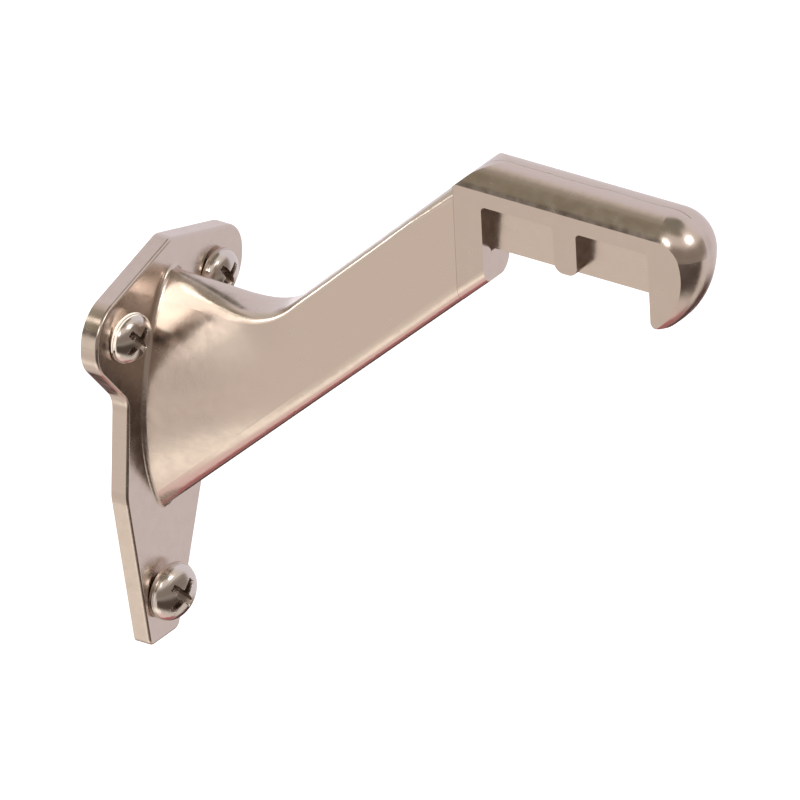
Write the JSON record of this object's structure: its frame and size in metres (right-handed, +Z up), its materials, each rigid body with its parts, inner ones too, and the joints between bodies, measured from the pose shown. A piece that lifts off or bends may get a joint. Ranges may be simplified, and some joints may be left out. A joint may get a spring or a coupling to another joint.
{
  "type": "handrail bracket",
  "caption": "Cast wall bracket for a handrail: screw-on shield plate, inclined arm and a ribbed hooked head that takes the rail and its strap.",
  "frame": {"origin": "on the back face of the wall plate, at the middle of its height and width", "axes": "+X out of the wall, +Z up, Y along the wall; the casting is symmetric about the plane Y = 0"},
  "size_m": [0.1034, 0.043, 0.0997],
  "materials": {
    "casting": "satin nickel plate on a zinc die casting, warm and faintly mottled",
    "screws": "bright nickel plate"
  },
  "bodies": {
    "root": {"bracket_casting": "casting", "upper_wall_screws": "screws", "lower_wall_screw": "screws"}
  },
  "joints": []
}
